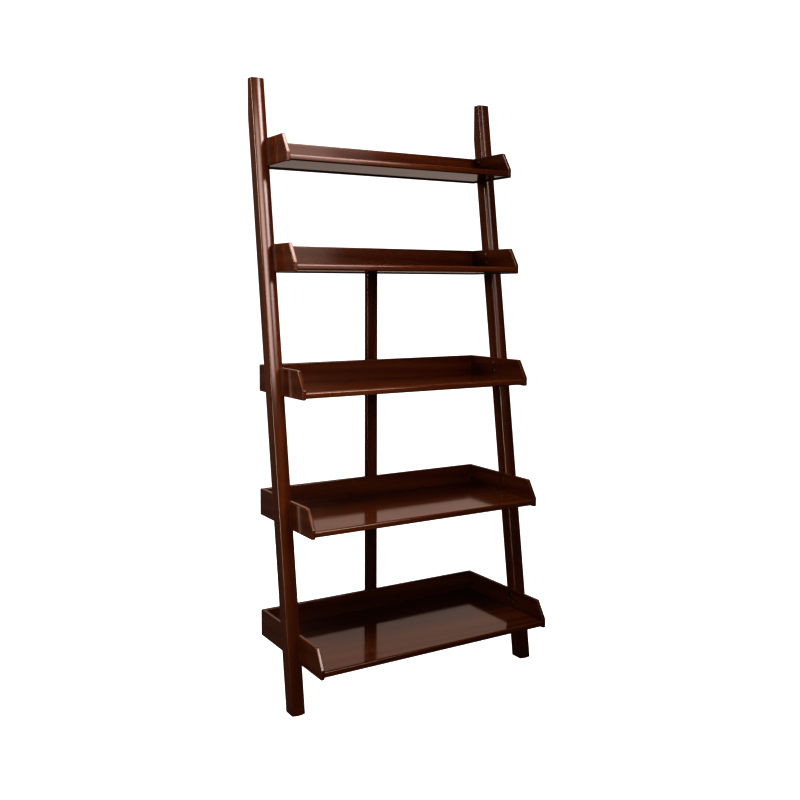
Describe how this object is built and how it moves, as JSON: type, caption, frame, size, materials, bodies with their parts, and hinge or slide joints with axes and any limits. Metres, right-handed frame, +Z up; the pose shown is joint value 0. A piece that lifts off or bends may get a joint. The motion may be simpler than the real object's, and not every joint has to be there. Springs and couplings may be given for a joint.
{
  "type": "ladder shelf",
  "caption": "Free-standing wooden ladder shelf: leaning uprights and a rear post carry open-fronted trays that deepen toward the floor.",
  "frame": {"origin": "on the floor, at the middle of the overall width and depth", "axes": "+Z up, -Y to the front where the trays open, +X to the right seen from the front"},
  "size_m": [0.876, 0.416, 1.829],
  "materials": {
    "upright_wood": "dark espresso stain under satin lacquer",
    "post_wood": "dark espresso stain under satin lacquer",
    "board_wood": "dark espresso stain under gloss lacquer",
    "panel_wood": "dark espresso stain under satin lacquer",
    "bolt_bronze": "dark bronze plated steel",
    "screw_steel": "zinc plated steel"
  },
  "bodies": {
    "root": {"upright_left": "upright_wood", "upright_right": "upright_wood", "rear_post": "post_wood", "tray_1_board": "board_wood", "tray_1_back": "panel_wood", "tray_1_side_left": "panel_wood", "tray_1_side_right": "panel_wood", "tray_1_bolt_left_lower": "bolt_bronze", "tray_1_bolt_left_upper": "bolt_bronze", "tray_1_bolt_right_lower": "bolt_bronze", "tray_1_bolt_right_upper": "bolt_bronze", "tray_2_board": "board_wood", "tray_2_back": "panel_wood", "tray_2_side_left": "panel_wood", "tray_2_side_right": "panel_wood", "tray_2_bolt_left_lower": "bolt_bronze", "tray_2_bolt_left_upper": "bolt_bronze", "tray_2_bolt_right_lower": "bolt_bronze", "tray_2_bolt_right_upper": "bolt_bronze", "tray_2_post_screw_lower": "screw_steel", "tray_2_post_screw_upper": "screw_steel", "tray_3_board": "board_wood", "tray_3_back": "panel_wood", "tray_3_side_left": "panel_wood", "tray_3_side_right": "panel_wood", "tray_3_bolt_left_lower": "bolt_bronze", "tray_3_bolt_left_upper": "bolt_bronze", "tray_3_bolt_right_lower": "bolt_bronze", "tray_3_bolt_right_upper": "bolt_bronze", "tray_3_post_screw_lower": "screw_steel", "tray_3_post_screw_upper": "screw_steel", "tray_4_board": "board_wood", "tray_4_back": "panel_wood", "tray_4_side_left": "panel_wood", "tray_4_side_right": "panel_wood", "tray_4_bolt_left_lower": "bolt_bronze", "tray_4_bolt_left_upper": "bolt_bronze", "tray_4_bolt_right_lower": "bolt_bronze", "tray_4_bolt_right_upper": "bolt_bronze", "tray_4_post_screw_lower": "screw_steel", "tray_4_post_screw_upper": "screw_steel", "tray_5_board": "board_wood", "tray_5_back": "panel_wood", "tray_5_side_left": "panel_wood", "tray_5_side_right": "panel_wood", "tray_5_bolt_left_lower": "bolt_bronze", "tray_5_bolt_left_upper": "bolt_bronze", "tray_5_bolt_right_lower": "bolt_bronze", "tray_5_bolt_right_upper": "bolt_bronze", "tray_5_post_screw_lower": "screw_steel", "tray_5_post_screw_upper": "screw_steel"}
  },
  "joints": []
}
